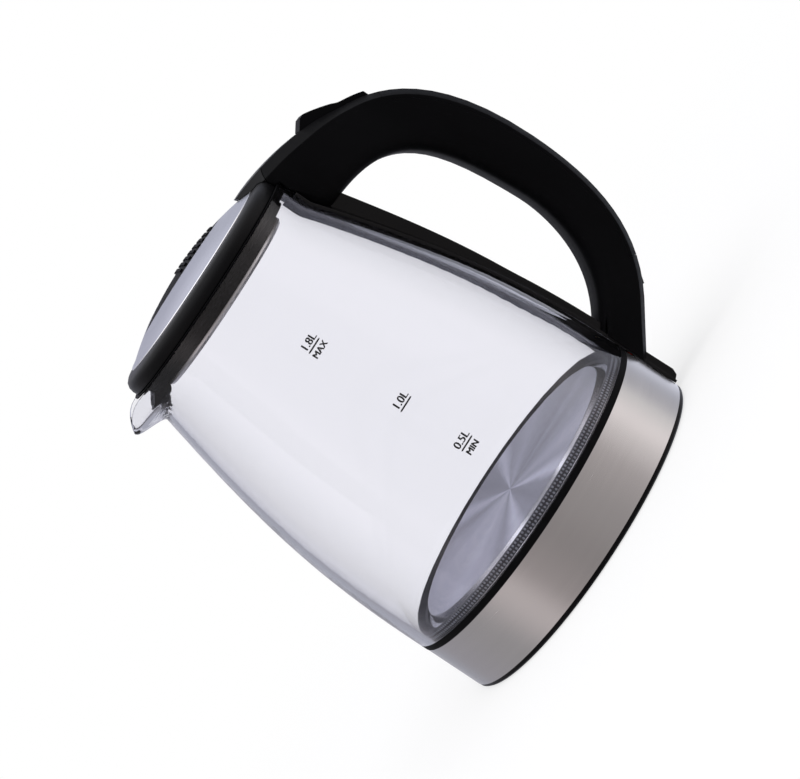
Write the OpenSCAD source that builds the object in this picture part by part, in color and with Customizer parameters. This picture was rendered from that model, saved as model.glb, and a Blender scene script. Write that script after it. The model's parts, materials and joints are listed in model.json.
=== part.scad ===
// Cordless glass electric kettle: the jug that lifts off its power base.
// The origin is on the jug's axis, at the level of the surface it stands on.
// The spout points to -X and the handle to +X.

/* [Jug] */
// Outside radius of the steel band at its foot
base_r = 80; // [76:0.5:90]
// Outside radius of the glass at its neck
neck_r = 56.8; // [54:0.2:60]
// Height of the glass rim
rim_z = 198.6; // [190:0.2:230]
// Thickness of the glass at its neck
glass_wall = 2.6; // [2:0.1:3.2]
// Thickness of the glass at its foot
glass_foot_wall = 4.4; // [3.4:0.1:5]

/* [Base] */
// Height of the top edge of the steel band
band_top = 30.4; // [28:0.2:40]
// Thickness of the steel band
band_t = 0.8; // [0.5:0.1:1.2]
// Height of the black foot ring
foot_h = 2.4; // [1.8:0.1:3.4]
// Height of the black gasket line between band and glass
gasket_h = 3.3; // [2.6:0.1:5]
// Width of the heating plate's low edge round its raised middle
plate_edge_w = 9.3; // [8:0.1:14]
// Radius of the cordless connector
connector_r = 16.4; // [14:0.2:20]
// Radius of the hole for the power base's centre pin
socket_r = 2.6; // [2:0.1:3.2]
// Depth of that hole
socket_depth = 12; // [9:0.5:15]

/* [Spout] */
// How far the spout's tip stands out from the neck
spout_reach = 13.2; // [9:0.2:18]
// Radius of the spout's nose seen from above
spout_tip_r = 9; // [7:0.5:12]
// How far the pouring edge lies below the rim
spout_drop = 7.4; // [6:0.2:7.6]

/* [Lid] */
// How far the lid ring's edge lies inside the neck radius
lid_inset = 1.8; // [1:0.1:3]
// Height of the black lid ring
ring_h = 7.2; // [6.6:0.1:9]
// Width of the black lid ring seen from above
ring_w = 7.8; // [7:0.1:9]
// Rise of the dome above the lid ring
dome_rise = 7.5; // [5:0.1:10]
// How far the steel liner's edge lies inside the neck radius
liner_inset = 13.2; // [12:0.1:15]
// Depth of the steel liner
liner_h = 2.3; // [2:0.1:4]
// Length of the grip pad in the dome
pad_l = 61; // [40:1:66]
// Width of the grip pad in the dome
pad_w = 40; // [34:1:42]
// Number of ribs on the grip pad
pad_ribs = 8; // [4:1:9]

/* [Handle] */
// How far the handle reaches out from the steel band
handle_reach = 56; // [50:1:70]
// Thickness of the grip, from the fingers to the palm
handle_t = 24; // [20:0.5:28]
// Width of the handle across the hand
handle_w = 30; // [28:1:36]
// Height of the handle's outermost point
grip_z = 116; // [105:1:125]
// Depth of the cover that closes the back of the handle
cover_t = 4.6; // [3.6:0.1:6]
// Width of the strip that runs down the glass
strip_w = 35; // [32:1:36]
// Travel of the lid button
button_travel = 2.2; // [1.5:0.1:2.4]
// Swing of the power switch
switch_swing = 12; // [8:1:14]

/* [Hidden] */

$fn = 96;
// Gap between pieces that only rest against each other
seat = 0.1;
// Gap round pieces that move
play = 0.3;
// Radial clearance of a pin in its hole
pin_play = 0.03;
// Overlap that makes a cut run clear through a face
eps = 1;

// --- Curves --------------------------------------------------------------
function bezier(p, t) = pow(1 - t, 3) * p[0] + 3 * pow(1 - t, 2) * t * p[1]
    + 3 * (1 - t) * t * t * p[2] + pow(t, 3) * p[3];
function reversed(list) = [for (i = [len(list) - 1:-1:0]) list[i]];

// Glass: outside curve from the foot to the neck, then up to the rim
glass_z0 = band_top + gasket_h;
glass_foot_r = base_r - 0.2;
glass_curve = [[glass_foot_r, glass_z0], [base_r - 0.5, band_top + 61.6],
               [neck_r + 15.1, rim_z - 71.2], [neck_r, rim_z - 15.6]];
rim_flare = 0.6;
// gap is the distance from the outside at the neck, foot_gap the same at the foot
function glass_side(gap, foot_gap) = concat(
    [for (i = [0:20])
        bezier(glass_curve, i / 20) + [gap + (foot_gap - gap) * pow(1 - i / 20, 1.5), 0]],
    [[neck_r + gap + 0.1, rim_z - 8], [neck_r + gap + rim_flare, rim_z]]);

// Lid levels
flange_t = 0.8;
flange_top = rim_z + flange_t;
lid_z = flange_top + play;
ring_top = lid_z + ring_h;
lid_r = neck_r - lid_inset;
dome_r = lid_r - ring_w;
dome_top = ring_top + dome_rise;
dome_t = 0.6;
dome_ball_r = (dome_r * dome_r + dome_rise * dome_rise) / (2 * dome_rise);

// Steel liner under the lid, and the collar round it
liner_r = neck_r - liner_inset;
collar_tube_r = liner_r + 6.2;
collar_bore_r = liner_r + 1.2;
collar_bottom = rim_z - 5.4;
mouth_r = neck_r + rim_flare - glass_wall;

// Handle: guide curves in the XZ plane, as [x, z]. Pieces of the outside curve run from the
// nose to the shoulder, the shoulder to the outermost point, on to the lower arm and its foot
handle_x = base_r + handle_reach;
shoulder = [neck_r + 41.1, rim_z - 3.7];
elbow = [base_r + 24, band_top + 4.6];
outer_curves = [
    [[neck_r - 16.8, rim_z + 12], [neck_r + 3.2, rim_z + 11.6], [neck_r + 25.2, rim_z + 6.4],
     shoulder],
    [shoulder, [neck_r + 47.1, rim_z - 7.5], [handle_x, rim_z - 17.8], [handle_x, grip_z]],
    [[handle_x, grip_z], [handle_x, grip_z - 32.3], [handle_x - 6.2, band_top + 23.9], elbow],
    [elbow, elbow - [8, 5.8], elbow - [16, 11.6], elbow - [24, 17.5]]];
inner_curves = [
    [[neck_r - 0.8, rim_z - 25], [handle_x - 32, rim_z - 24.1], [handle_x - 26, rim_z - 47.6],
     [handle_x - handle_t, grip_z - 13]],
    [[handle_x - handle_t, grip_z - 13], [handle_x - handle_t, grip_z - 35],
     [handle_x - 33, band_top + 25.6], [base_r, band_top + 14.1]]];
function outer(u) = bezier(outer_curves[min(3, floor(u))], u - min(3, floor(u)));
function inner(v) = bezier(inner_curves[min(1, floor(v))], v - min(1, floor(v)));
// Place on the inside curve that faces place u of the outside curve
facing = [[0, 0], [1, 0.25], [1.5, 0.45], [1.75, 0.66], [2, 0.93], [2.5, 1.38],
          [3, 1.8], [4, 2]];
function facing_point(u) = inner(lookup(u, facing));
function across(u) = let (d = outer(u) - facing_point(u)) d / norm(d);
// Point at a depth under the outside curve, or at a height over the inside curve
function under(u, depth) = outer(u) - depth * across(u);
function over(u, height) = facing_point(u) + height * across(u);
function steps(a, b, n) = [for (i = [0:n]) a + (b - a) * i / n];

// Section of the handle: a bevelled outside face and a rounded inside face
bevel_h = [[0, 3], [0.2, 5], [0.6, 4.8], [1, 2.8], [2, 3], [4, 3]];
bevel_w = [[0, 4], [0.2, 6], [1, 6], [1.6, 5], [4, 5]];
half_w = [[0, handle_w / 2 - 7], [0.1, handle_w / 2 - 2.5], [0.2, handle_w / 2],
          [2.6, handle_w / 2], [4, handle_w / 2 - 2.5]];
inner_round = 7;
function section(u) = let (
    o = outer(u), a = across(u), i = facing_point(u), w = lookup(u, half_w),
    h = lookup(u, bevel_h), b = lookup(u, bevel_w),
    half = concat([[o, w - b], [o - h * a, w]],
        [for (k = [0:4]) let (q = 90 * k / 4)
            [i + inner_round * (1 - sin(q)) * a, w - inner_round * (1 - cos(q))]]))
    concat([for (p = half) [p[0][0], p[1], p[0][1]]],
           [for (p = reversed(half)) [p[0][0], -p[1], p[0][1]]]);
handle_steps = concat(steps(0, 0.9, 10), steps(1, 1.93, 14), steps(2, 2.93, 14), steps(3, 4, 4));

// Lid hinge, inside the handle's head
pin = [neck_r + 8.1, rim_z - 0.2];
pin_r = 2;
hub_r = 5.4;
ear_r = 13.05;
arm_sweep_r = 13.5;
arm_half_w = handle_w / 2 - 6.2;
lug_angle = -25;
slot_x = neck_r + 2.3;

// Lid button and latch
button_u = [0.665, 1.335];
button_half_w = handle_w / 2 - 6.7;
skirt = 2.8;
// Height of the button over the handle along its length
button_lift = [[0.665, 0.3], [0.768, 6], [0.81, 5.7], [1.1, 2.7], [1.335, 2.7]];
stem_x = pin[0] + 19.2;
stem_l = 3.5;
bolt_top = rim_z - 7;
bolt_h = 4;
bolt_tip = pin[0] + 12.4;
bolt_l = 11;
wedge_z = bolt_top - 2.6;

// Power switch
rocker_mid = [elbow[0] + 8.3, elbow[1] + 7.4];
rocker_tilt = 46;
rocker_l = 12;
rocker_half_w = 7;
rocker_pin_r = 1.5;
rocker_hub_z = 6.8;
rocker_proud = 0.4;

// --- Helpers -------------------------------------------------------------
// A prism along Y from an outline drawn as [x, z]
module prism(points, half) {
    rotate([90, 0, 0]) translate([0, 0, -half]) linear_extrude(2 * half) polygon(points);
}

// A tube along a route of [x, y, z] points, with sides flat faces round it
module sweep(route, r, sides) {
    last = len(route) - 1;
    rings = [for (i = [0:last]) let (
        d = route[min(last, i + 1)] - route[max(0, i - 1)], t = d / norm(d),
        side = abs(t[1]) < 0.9 ? cross(t, [0, 1, 0]) : cross(t, [0, 0, 1]),
        n = side / norm(side), b = cross(t, n))
        for (k = [0:sides - 1])
            route[i] + r * (cos(360 * k / sides) * n + sin(360 * k / sides) * b)];
    polyhedron(rings, concat(
        [[for (k = [0:sides - 1]) k]],
        [for (i = [0:last - 1], k = [0:sides - 1]) let (
            a = i * sides + k, b = i * sides + (k + 1) % sides)
            each [[a, a + sides, b + sides], [a, b + sides, b]]],
        [[for (k = [sides - 1:-1:0]) last * sides + k]]));
}

// A coil spring along Z, standing on z = 0
module coil(r, wire, length, turns) {
    per_turn = 12;
    count = turns * per_turn;
    sweep([for (i = [0:count]) [
        (r - wire) * cos(360 * i / per_turn), (r - wire) * sin(360 * i / per_turn),
        wire + (length - 2 * wire) * i / count]], wire, 6);
}

// A solid through a list of rings with the same number of points
module loft(rings) {
    size = len(rings[0]);
    last = len(rings) - 1;
    polyhedron([for (ring = rings) for (p = ring) p], concat(
        [[for (k = [size - 1:-1:0]) k]],
        [for (i = [0:last - 1], k = [0:size - 1]) let (
            a = i * size + k, b = i * size + (k + 1) % size)
            each [[a, b, b + size], [a, b + size, a + size]]],
        [[for (k = [0:size - 1]) last * size + k]]));
}

// The whole handle, from the nose over the lid to its foot on the strip
module handle_form() {
    loft([for (u = handle_steps) section(u)]);
}

// Places of the handle's outside curve between two values, moved in by a depth
module handle_band(u0, u1, depth, half) {
    list = steps(u0, u1, 24);
    prism(concat([for (u = list) under(u, depth)], [for (u = reversed(list)) under(u, -6)]), half);
}

// Everything that the glass, the collar flange and the steel band fill, grown by a gap
module jug_space(gap, top) {
    rotate_extrude() polygon(concat(
        [[0, -eps], [base_r + gap, -eps], [base_r + gap, band_top],
         [glass_foot_r + gap, band_top]],
        glass_side(gap, gap), [[neck_r + gap + rim_flare, top], [0, top]]));
}

// Puts its children on the hinge pin's axis, with their own Z along -Y
module at_pin() {
    translate([pin[0], 0, pin[1]]) rotate([90, 0, 0]) children();
}

// Puts its children in the power switch's own frame: X along its face, Z into the handle
module at_rocker() {
    translate([rocker_mid[0], 0, rocker_mid[1]]) rotate([0, -rocker_tilt, 0]) children();
}

module block(low, high) {
    translate(low) cube(high - low);
}

// --- Jug and base --------------------------------------------------------
beak_low = rim_z - 16;
beak_rise = 8.2;
beak_floor = 1.6;
// Share of the spout's reach that it has at a height over its start
function beak_share(h) = let (s = min(1, max(0, h / beak_rise))) s * s * (3 - 2 * s);
// Distance from the axis to a tip circle t joined by tangents to a neck circle n, at angle a
// from the spout's direction
function beak_edge(a, n, t, tip) = let (c = max(tip - t, n - t), side = acos((n - t) / c),
    tip_side = atan2(t * sin(side), c + t * cos(side)), b = abs(a))
    b >= side ? n : b > tip_side ? n / cos(side - b)
        : c * cos(b) + sqrt(t * t - pow(c * sin(b), 2));

// The beak, or with an inset and a lift the hollow in it
module beak(inset, lift, top) {
    angles = [for (k = [-20:20]) 60 * k / 20 * sqrt(abs(k) / 20)];
    heights = concat([for (i = [0:8]) beak_rise * i / 8], [top - beak_low - lift]);
    loft([for (h = heights) concat(
        [for (a = angles)
            let (r = beak_edge(a, neck_r - 0.3 - inset, spout_tip_r - inset,
                               neck_r - inset + spout_reach * beak_share(h)))
            [-r * cos(a), r * sin(a), beak_low + lift + h]],
        [[-20, 20, beak_low + lift + h], [-20, -20, beak_low + lift + h]])]);
}

module glass_jug() {
    color([0.86, 0.87, 0.9, 0.4]) difference() {
        union() {
            rotate_extrude() polygon(concat([[0, glass_z0]], glass_side(0, 0), [[0, rim_z]]));
            beak(0, 0, rim_z);
        }
        rotate_extrude() polygon(concat([[0, glass_z0 - eps],
            [glass_foot_r - glass_foot_wall, glass_z0 - eps]],
            glass_side(-glass_wall, -glass_foot_wall),
            [[mouth_r, rim_z + eps], [0, rim_z + eps]]));
        beak(glass_wall, beak_floor, rim_z + 2 * eps);
        // pouring edge, falling from the rim to the tip
        prism(concat([for (s = [0:0.1:1.1])
            [-neck_r - 0.4 - (spout_reach - 0.4) * s, rim_z - spout_drop * pow(s, 2.3)]],
            [[-neck_r - 0.4 - spout_reach * 1.1, rim_z + 2 * eps],
             [-neck_r - 0.4, rim_z + 2 * eps]]), neck_r);
    }
}

gasket_lip_r = glass_foot_r - glass_foot_wall - seat;
plate_r = gasket_lip_r - 0.2;
plate_flat_r = plate_r - plate_edge_w;
plate_t = 0.8;
plate_rim_z = glass_z0 - 0.6;
module base_gasket() {
    color([0.05, 0.05, 0.055]) rotate_extrude() polygon([
        [gasket_lip_r - 7, band_top + 0.05], [base_r - 0.2, band_top + 0.05],
        [base_r - 0.2, glass_z0 - 0.05], [gasket_lip_r, glass_z0 - 0.05],
        [gasket_lip_r, plate_rim_z - 0.05], [gasket_lip_r - 7, plate_rim_z - 0.05]]);
}

band_in = base_r - 0.35 - band_t;
wire_z = foot_h + 22.4;
wire_y = 4;
tab_screw_z = foot_h + 9;
module base_band() {
    color([0.76, 0.74, 0.71]) difference() {
        rotate_extrude() polygon([
            [base_r - band_t, foot_h + 0.05], [base_r, foot_h + 0.05],
            [base_r - 0.35, band_top], [gasket_lip_r - 6, band_top],
            [gasket_lip_r - 6, band_top - band_t], [band_in, band_top - band_t]]);
        for (y = [-wire_y, wire_y]) translate([base_r - 6, y, wire_z]) rotate([0, 90, 0])
            cylinder(r = 2.4, h = 12, $fn = 32);
        translate([base_r - 6, 0, tab_screw_z]) rotate([0, 90, 0])
            cylinder(r = 1.6, h = 12, $fn = 32);
    }
}

cover_floor_z = 2.2;
base_screw_r = 62;
module base_cover() {
    wall_r = base_r - band_t - 0.15;
    color([0.05, 0.05, 0.055]) difference() {
        rotate_extrude() polygon([
            [connector_r + seat, cover_floor_z], [base_r - 6, cover_floor_z], [base_r - 4, 0],
            [base_r - 0.9, 0], [base_r - 0.15, 0.8], [base_r - 0.15, foot_h],
            [wall_r, foot_h], [wall_r, foot_h + 5], [wall_r - 1.6, foot_h + 5],
            [wall_r - 1.6, foot_h + 2], [connector_r + seat + 2, foot_h + 2],
            [connector_r + seat + 2, foot_h + 10], [connector_r + seat, foot_h + 10]]);
        for (a = [30, 150, 270]) rotate([0, 0, a]) translate([base_screw_r, 0, -eps])
            cylinder(r = 1.9, h = 8, $fn = 32);
        translate([base_r - 9, 0, tab_screw_z]) rotate([0, 90, 0])
            cylinder(r = 3.6, h = 8, $fn = 32);
    }
}

module base_screws() {
    color([0.6, 0.6, 0.62]) for (a = [30, 150, 270])
        rotate([0, 0, a]) translate([base_screw_r, 0, cover_floor_z - 1.8]) {
            cylinder(r = 3.2, h = 1.75, $fn = 32);
            cylinder(r = 1.8, h = 8, $fn = 32);
        }
}

flat_z = plate_rim_z + 4.3;
module heating_plate() {
    color([0.74, 0.74, 0.77]) rotate_extrude() polygon([
        [0, flat_z - plate_t], [plate_flat_r - 0.8, flat_z - plate_t],
        [plate_flat_r + 1.4, plate_rim_z], [plate_r, plate_rim_z],
        [plate_r, plate_rim_z + plate_t], [plate_flat_r + 1.9, plate_rim_z + plate_t],
        [plate_flat_r, flat_z], [0, flat_z]]);
}

module plate_seal() {
    low = plate_rim_z + plate_t + 0.05;
    color([0.72, 0.73, 0.76]) rotate_extrude() polygon([
        [plate_r - 5, low], [plate_r, low], [plate_r, low + 3.4], [plate_r - 1.4, low + 3.6],
        [plate_r - 3.4, low + 1.2], [plate_r - 5, low + 0.7]]);
}

spreader_r = plate_flat_r - 6;
spreader_z = flat_z - plate_t - 3.5;
module heat_spreader() {
    color([0.8, 0.8, 0.8]) translate([0, 0, spreader_z])
        cylinder(r = spreader_r, h = 3.45);
}

element_r = 3.2;
module heating_element() {
    ring_r = spreader_r - 12;
    z = spreader_z - element_r - 0.05;
    color([0.5, 0.5, 0.5]) {
        rotate([0, 0, 15]) rotate_extrude(angle = 330) translate([ring_r, z])
            circle(r = element_r, $fn = 32);
        for (a = [15, 345]) rotate([0, 0, a]) translate([ring_r, 0, z - 8])
            cylinder(r = element_r - 0.4, h = 8, $fn = 32);
    }
}

connector_top = socket_depth + 6;
module control_unit() {
    color([0.85, 0.85, 0.82]) translate([0, 0, connector_top + 0.05])
        cylinder(r = connector_r + 6, h = spreader_z - connector_top - 0.1);
}

slot_in = [socket_r + 2, connector_r - 7.4];
slot_w = 2.6;
module connector() {
    color([0.07, 0.07, 0.07]) difference() {
        cylinder(r = connector_r, h = connector_top);
        translate([0, 0, -eps]) cylinder(r = socket_r, h = socket_depth + eps);
        for (r = slot_in) translate([0, 0, -eps]) difference() {
            cylinder(r = r + slot_w, h = socket_depth + eps);
            translate([0, 0, -eps]) cylinder(r = r, h = socket_depth + 3 * eps);
        }
    }
}

module connector_contacts() {
    color([0.8, 0.62, 0.3]) for (r = slot_in) translate([0, 0, socket_depth - 0.85])
        difference() {
            cylinder(r = r + slot_w - 0.1, h = 0.8);
            translate([0, 0, -eps]) cylinder(r = r + 0.1, h = 0.8 + 2 * eps);
        }
}

// --- Collar and spout filter ---------------------------------------------
filter_half_w = 14;
module collar() {
    lip_r = mouth_r - 0.4;
    color([0.06, 0.06, 0.065]) {
        difference() {
            rotate_extrude() polygon([
                [collar_bore_r, collar_bottom], [collar_tube_r, collar_bottom],
                [collar_tube_r, rim_z - 1], [lip_r - 2.2, rim_z - 1], [lip_r - 2.2, rim_z - 3.2],
                [lip_r, rim_z - 3.2], [lip_r, rim_z + 0.05], [neck_r - 0.2, rim_z + 0.05],
                [neck_r - 0.2, flange_top], [collar_bore_r, flange_top]]);
            pour_gap(0);
            // groove of the gasket
            difference() {
                translate([0, 0, rim_z - 2.4]) cylinder(r = neck_r, h = 1.4);
                translate([0, 0, rim_z - 3]) cylinder(r = mouth_r - 1.4, h = 3);
            }
        }
        // prongs that hold the handle's head
        for (s = [-1, 1]) translate([0, s * (handle_w / 2 - 3.3), 0])
            block([neck_r - 4, -2.1, rim_z + 0.05], [neck_r + 4.6, 2.1, flange_top]);
    }
}

// The gap in the collar's lip that leaves the spout open
module pour_gap(grow) {
    prism([[-base_r, rim_z - 8], [-collar_tube_r - 0.3, rim_z - 8],
           [-collar_tube_r - 0.3, rim_z - 1], [-collar_tube_r - 3, rim_z - 1],
           [-collar_tube_r - 3, rim_z + 0.05], [-base_r, rim_z + 0.05]], 26 + grow);
}

module collar_gasket() {
    color([0.8, 0.8, 0.8]) difference() {
        translate([0, 0, rim_z - 2.35]) cylinder(r = mouth_r - 0.25, h = 1.3);
        translate([0, 0, rim_z - 3]) cylinder(r = mouth_r - 1.3, h = 3);
        pour_gap(0.2);
    }
}

filter_at = [[-neck_r + 2.4, -10.3, 2, 4.5], [-neck_r + 5.4, -9.3, 3.4, 10],
             [-neck_r + 10.2, -6.2, 3.6, filter_half_w]];
// Rounded tongue through three cylinders, given as place, height, radius and half width
module filter_shell(inset) {
    hull() for (f = filter_at) translate([f[0], 0, rim_z + f[1]]) rotate([90, 0, 0])
        cylinder(r = f[2] - inset, h = 2 * (f[3] - inset), center = true, $fn = 32);
}

// Room of the collar and the lid behind the filter
module filter_back(gap) {
    translate([0, 0, collar_bottom - gap]) cylinder(r = collar_tube_r + gap, h = rim_z);
    cylinder(r = collar_bore_r + gap + 0.3, h = rim_z);
}

shelf_z = rim_z - 9.4;
window_x = [-neck_r + 2.6, -collar_tube_r - 0.8];
module spout_filter() {
    color([0.06, 0.06, 0.065]) difference() {
        filter_shell(0);
        filter_back(seat);
        // two chambers, each with a shelf for the mesh
        intersection() {
            filter_shell(1);
            for (s = [-1, 1]) translate([0, s * 3.75, 0]) {
                block([-neck_r - 4, -3, rim_z - 14], [neck_r - 90, 3, shelf_z]);
                block([-neck_r - 4, -3, shelf_z + 1], [neck_r - 90, 3, rim_z]);
            }
        }
        // windows in the upper face of the shell and in its shelf
        for (y = [-3.75, 3.75])
            block([window_x[0], y - 2.6, shelf_z - 1], [window_x[1], y + 2.6, rim_z]);
    }
}

module filter_mesh() {
    z = shelf_z + 1.05;
    color([0.7, 0.7, 0.72]) difference() {
        intersection() {
            filter_shell(1.1);
            for (y = [-3.75, 3.75])
                block([-neck_r - 4, y - 2.9, z], [-collar_bore_r, y + 2.9, z + 0.4]);
        }
        filter_back(2 * seat);
    }
}

// --- Handle --------------------------------------------------------------
strip_bottom = foot_h + 0.2;
strip_top = rim_z - 20.6;
rib_half_w = 9;
tab_t = 4.4;
wing_out = 1.6;
wing_top = rim_z - 8;
// Outline of the strip's rib as [x, z], grown outwards
function strip_outline(grow) = let (out = base_r + tab_t + grow) concat(
    [[neck_r - 10, strip_bottom], [out - 4, strip_bottom],
     [out - 1.2, strip_bottom + 1.2], [out, strip_bottom + 4]],
    [for (i = [0:19]) let (p = bezier(glass_curve, i / 20))
        if (p[1] < strip_top - 2)
            [p[0] + tab_t - 0.4 + grow + 0.052 * max(0, p[1] - glass_z0 - 58), p[1]]],
    [[neck_r + 9.8 + grow, strip_top], [neck_r - 10, strip_top]]);

// The strip's wings seen from the handle: narrow at the foot, wide along the glass
module wing_front(grow) {
    half = [[strip_bottom - grow, 11.5], [glass_z0 + 14, 11.5], [glass_z0 + 24, 12.6],
            [glass_z0 + 34, strip_w / 2 - 1.6], [glass_z0 + 44, strip_w / 2],
            [wing_top + grow, strip_w / 2]];
    translate([neck_r - 20, 0, 0]) rotate([90, 0, 90]) linear_extrude(60)
        polygon(concat([for (p = half) [p[1] + grow, p[0]]],
                       [for (p = reversed(half)) [-p[1] - grow, p[0]]]));
}

// The strip: a rib, and thin wings that hug the glass and the band
module strip_form(grow) {
    difference() {
        union() {
            prism(strip_outline(grow), rib_half_w + grow);
            intersection() {
                jug_space(wing_out + grow, rim_z + eps);
                wing_front(grow);
            }
        }
        jug_space(0.25 - grow, rim_z + 2 * eps);
    }
}

module handle_strip() {
    color([0.06, 0.06, 0.065]) difference() {
        strip_form(0);
        for (y = [-wire_y, wire_y]) hull() {
            translate([base_r - 2, y, wire_z]) rotate([0, 90, 0])
                cylinder(r = 2, h = 12, $fn = 24);
            translate([base_r - 2, y, wire_z + 8]) rotate([0, 90, 0])
                cylinder(r = 2, h = 12, $fn = 24);
        }
        translate([base_r - 6, 0, tab_screw_z]) rotate([0, 90, 0])
            cylinder(r = 1.45, h = 9.2, $fn = 32);
    }
}

module handle_screws() {
    color([0.6, 0.6, 0.62]) translate([base_r - band_t - 2.7, 0, tab_screw_z])
        rotate([0, 90, 0]) {
            cylinder(r = 3, h = 2, $fn = 32);
            cylinder(r = 1.4, h = 6.4, $fn = 32);
        }
}

cavity_half_w = handle_w / 2 - 3;
cover_u = [1.4, 2.79];
// The hollow of the handle, from behind the button down to its foot
module handle_cavity() {
    upper = steps(cover_u[0] + 0.02, cover_u[1], 24);
    lower = steps(cover_u[1] + 0.04, 4, 8);
    prism(concat([for (u = upper) under(u, cover_t - 0.5)], [for (u = lower) under(u, 3)],
                 [for (u = reversed(concat(upper, lower))) over(u, 3)]), cavity_half_w);
}

// Room that the lid's hinge arm needs in the head
module arm_slot() {
    half = arm_half_w + play;
    intersection() {
        at_pin() cylinder(r = arm_sweep_r + play, h = 2 * half, center = true);
        block([slot_x, -half, rim_z - 20], [base_r + 20, half, rim_z + 20]);
    }
    block([neck_r - 30, -half, flange_top + seat], [pin[0], half, rim_z + 20]);
}

// Everything in front of the head's round ears, over the whole width
module lid_zone(r) {
    difference() {
        block([neck_r - 30, -handle_w, flange_top + seat], [pin[0], handle_w, rim_z + 20]);
        at_pin() cylinder(r = r, h = 3 * handle_w, center = true);
    }
}

module button_well() {
    half = button_half_w + play;
    list = steps(button_u[0] - 0.005, button_u[1] + 0.005, 16);
    prism(concat([for (u = list) outer(u) - [0, skirt + button_travel + play]],
                 [for (u = reversed(list)) outer(u) + [0, 8]]), half);
}

spring_at = [pin[0] + 32.6, rim_z - 14.2];
spring_r = 2.8;
latch_spring_l = 4.8;
module latch_cuts() {
    channel_z = bolt_top - bolt_h;
    block([pin[0] + 8, -4.3, channel_z - play], [bolt_tip + bolt_l + button_travel + play, 4.3,
          bolt_top + play]);
    block([stem_x - play, -2.3, channel_z - 2.6], [stem_x + stem_l + play, 2.3, rim_z + 8]);
    translate([bolt_tip + bolt_l - eps, 0, bolt_top - bolt_h / 2]) rotate([0, 90, 0])
        cylinder(r = 1.9, h = latch_spring_l + 0.2 + eps, $fn = 32);
    translate([spring_at[0], 0, spring_at[1]]) cylinder(r = spring_r + play, h = 12, $fn = 32);
    // steam way from the hinge slot to the hollow handle
    block([slot_x + 6, -5, rim_z - 22.6], [handle_x - 31, 5, rim_z - 17.4]);
    block([slot_x + 6, -5, rim_z - 18], [slot_x + 12, 5, rim_z - 12]);
}

module rocker_cuts() {
    at_rocker() {
        block([-rocker_l / 2 - 1.2, -rocker_half_w - play, -8],
              [rocker_l / 2 + 1.2, rocker_half_w + play, 6]);
        block([-7, -9, 3], [7, 9, 11]);
        translate([0, 0, rocker_hub_z]) rotate([90, 0, 0])
            cylinder(r = rocker_pin_r + pin_play, h = 2 * (cavity_half_w + 1.6), center = true,
                     $fn = 48);
    }
}

module handle_grip() {
    color([0.055, 0.055, 0.06]) difference() {
        handle_form();
        jug_space(0.4, flange_top + seat);
        strip_form(seat);
        lid_zone(ear_r);
        arm_slot();
        at_pin() cylinder(r = pin_r + pin_play, h = 2 * (handle_w / 2 - 1.5), center = true);
        for (s = [-1, 1]) translate([0, s * (handle_w / 2 - 3.3), 0])
            block([neck_r - 4, -2.2, rim_z - 1], [neck_r + 4.7, 2.2, flange_top + 0.05]);
        button_well();
        latch_cuts();
        handle_band(cover_u[0] - 0.002, cover_u[1] + 0.002, cover_t + seat, handle_w);
        handle_cavity();
        rocker_cuts();
    }
}

module handle_cover() {
    color([0.055, 0.055, 0.06]) difference() {
        intersection() {
            handle_form();
            handle_band(cover_u[0], cover_u[1], cover_t, handle_w);
        }
        inside = steps(cover_u[0] + 0.05, cover_u[1] - 0.05, 20);
        prism(concat([for (u = inside) under(u, cover_t + 1)],
                     [for (u = reversed(inside)) under(u, 2.2)]), cavity_half_w - 0.5);
    }
}

module hinge_pin() {
    color([0.7, 0.7, 0.72]) at_pin()
        cylinder(r = pin_r, h = 2 * (handle_w / 2 - 1.6), center = true);
}

hinge_gap = 3.6;
module hinge_spring() {
    color([0.6, 0.6, 0.62]) translate([pin[0], -hinge_gap + 0.3, pin[1]]) rotate([-90, 0, 0])
        coil(3.4, 0.45, 2 * hinge_gap - 0.6, 6);
}

module button_spring() {
    color([0.6, 0.6, 0.62]) translate([spring_at[0], 0, spring_at[1] + 0.1])
        coil(spring_r, 0.35, button_seat_z - spring_at[1] - 0.2, 5);
}

module latch_spring() {
    color([0.6, 0.6, 0.62]) translate([bolt_tip + bolt_l + 0.1, 0, bolt_top - bolt_h / 2])
        rotate([0, 90, 0]) coil(1.6, 0.25, latch_spring_l, 6);
}

// Puts its children in the lower arm's frame: X up along its face, Z into the handle
arm_tilt = 36;
module at_arm() {
    translate([elbow[0], 0, elbow[1]]) rotate([0, -arm_tilt, 0]) children();
}

switch_box = [[-12, -7, 3.3], [-2, 7, 10]];
module steam_switch() {
    color([0.8, 0.78, 0.72]) at_arm() block(switch_box[0], switch_box[1]);
}

module bimetal_disc() {
    color([0.75, 0.6, 0.4]) at_arm()
        translate([(switch_box[0][0] + switch_box[1][0]) / 2, 0, switch_box[1][2] + 0.05])
        cylinder(r = 4.5, h = 0.6, $fn = 48);
}

module switch_pin() {
    color([0.7, 0.7, 0.72]) at_rocker() translate([0, 0, rocker_hub_z]) rotate([90, 0, 0])
        cylinder(r = rocker_pin_r, h = 2 * (cavity_half_w + 1.5), center = true, $fn = 48);
}

module switch_wires() {
    at = [switch_box[0][0] - 0.1, 6];
    end = elbow + [at[0] * cos(arm_tilt) - at[1] * sin(arm_tilt),
                   at[0] * sin(arm_tilt) + at[1] * cos(arm_tilt)];
    color([0.75, 0.1, 0.1]) for (y = [-wire_y, wire_y])
        sweep([[connector_r + 6.2, y, wire_z], [base_r - 20, y, wire_z],
               [base_r - 4, y, wire_z], [base_r - 0.5, y, wire_z + 0.3],
               [base_r + 3, y, wire_z + 3], [end[0] - 3, y, end[1] - 2.5], [end[0], y, end[1]]],
              1.1, 8);
}

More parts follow.
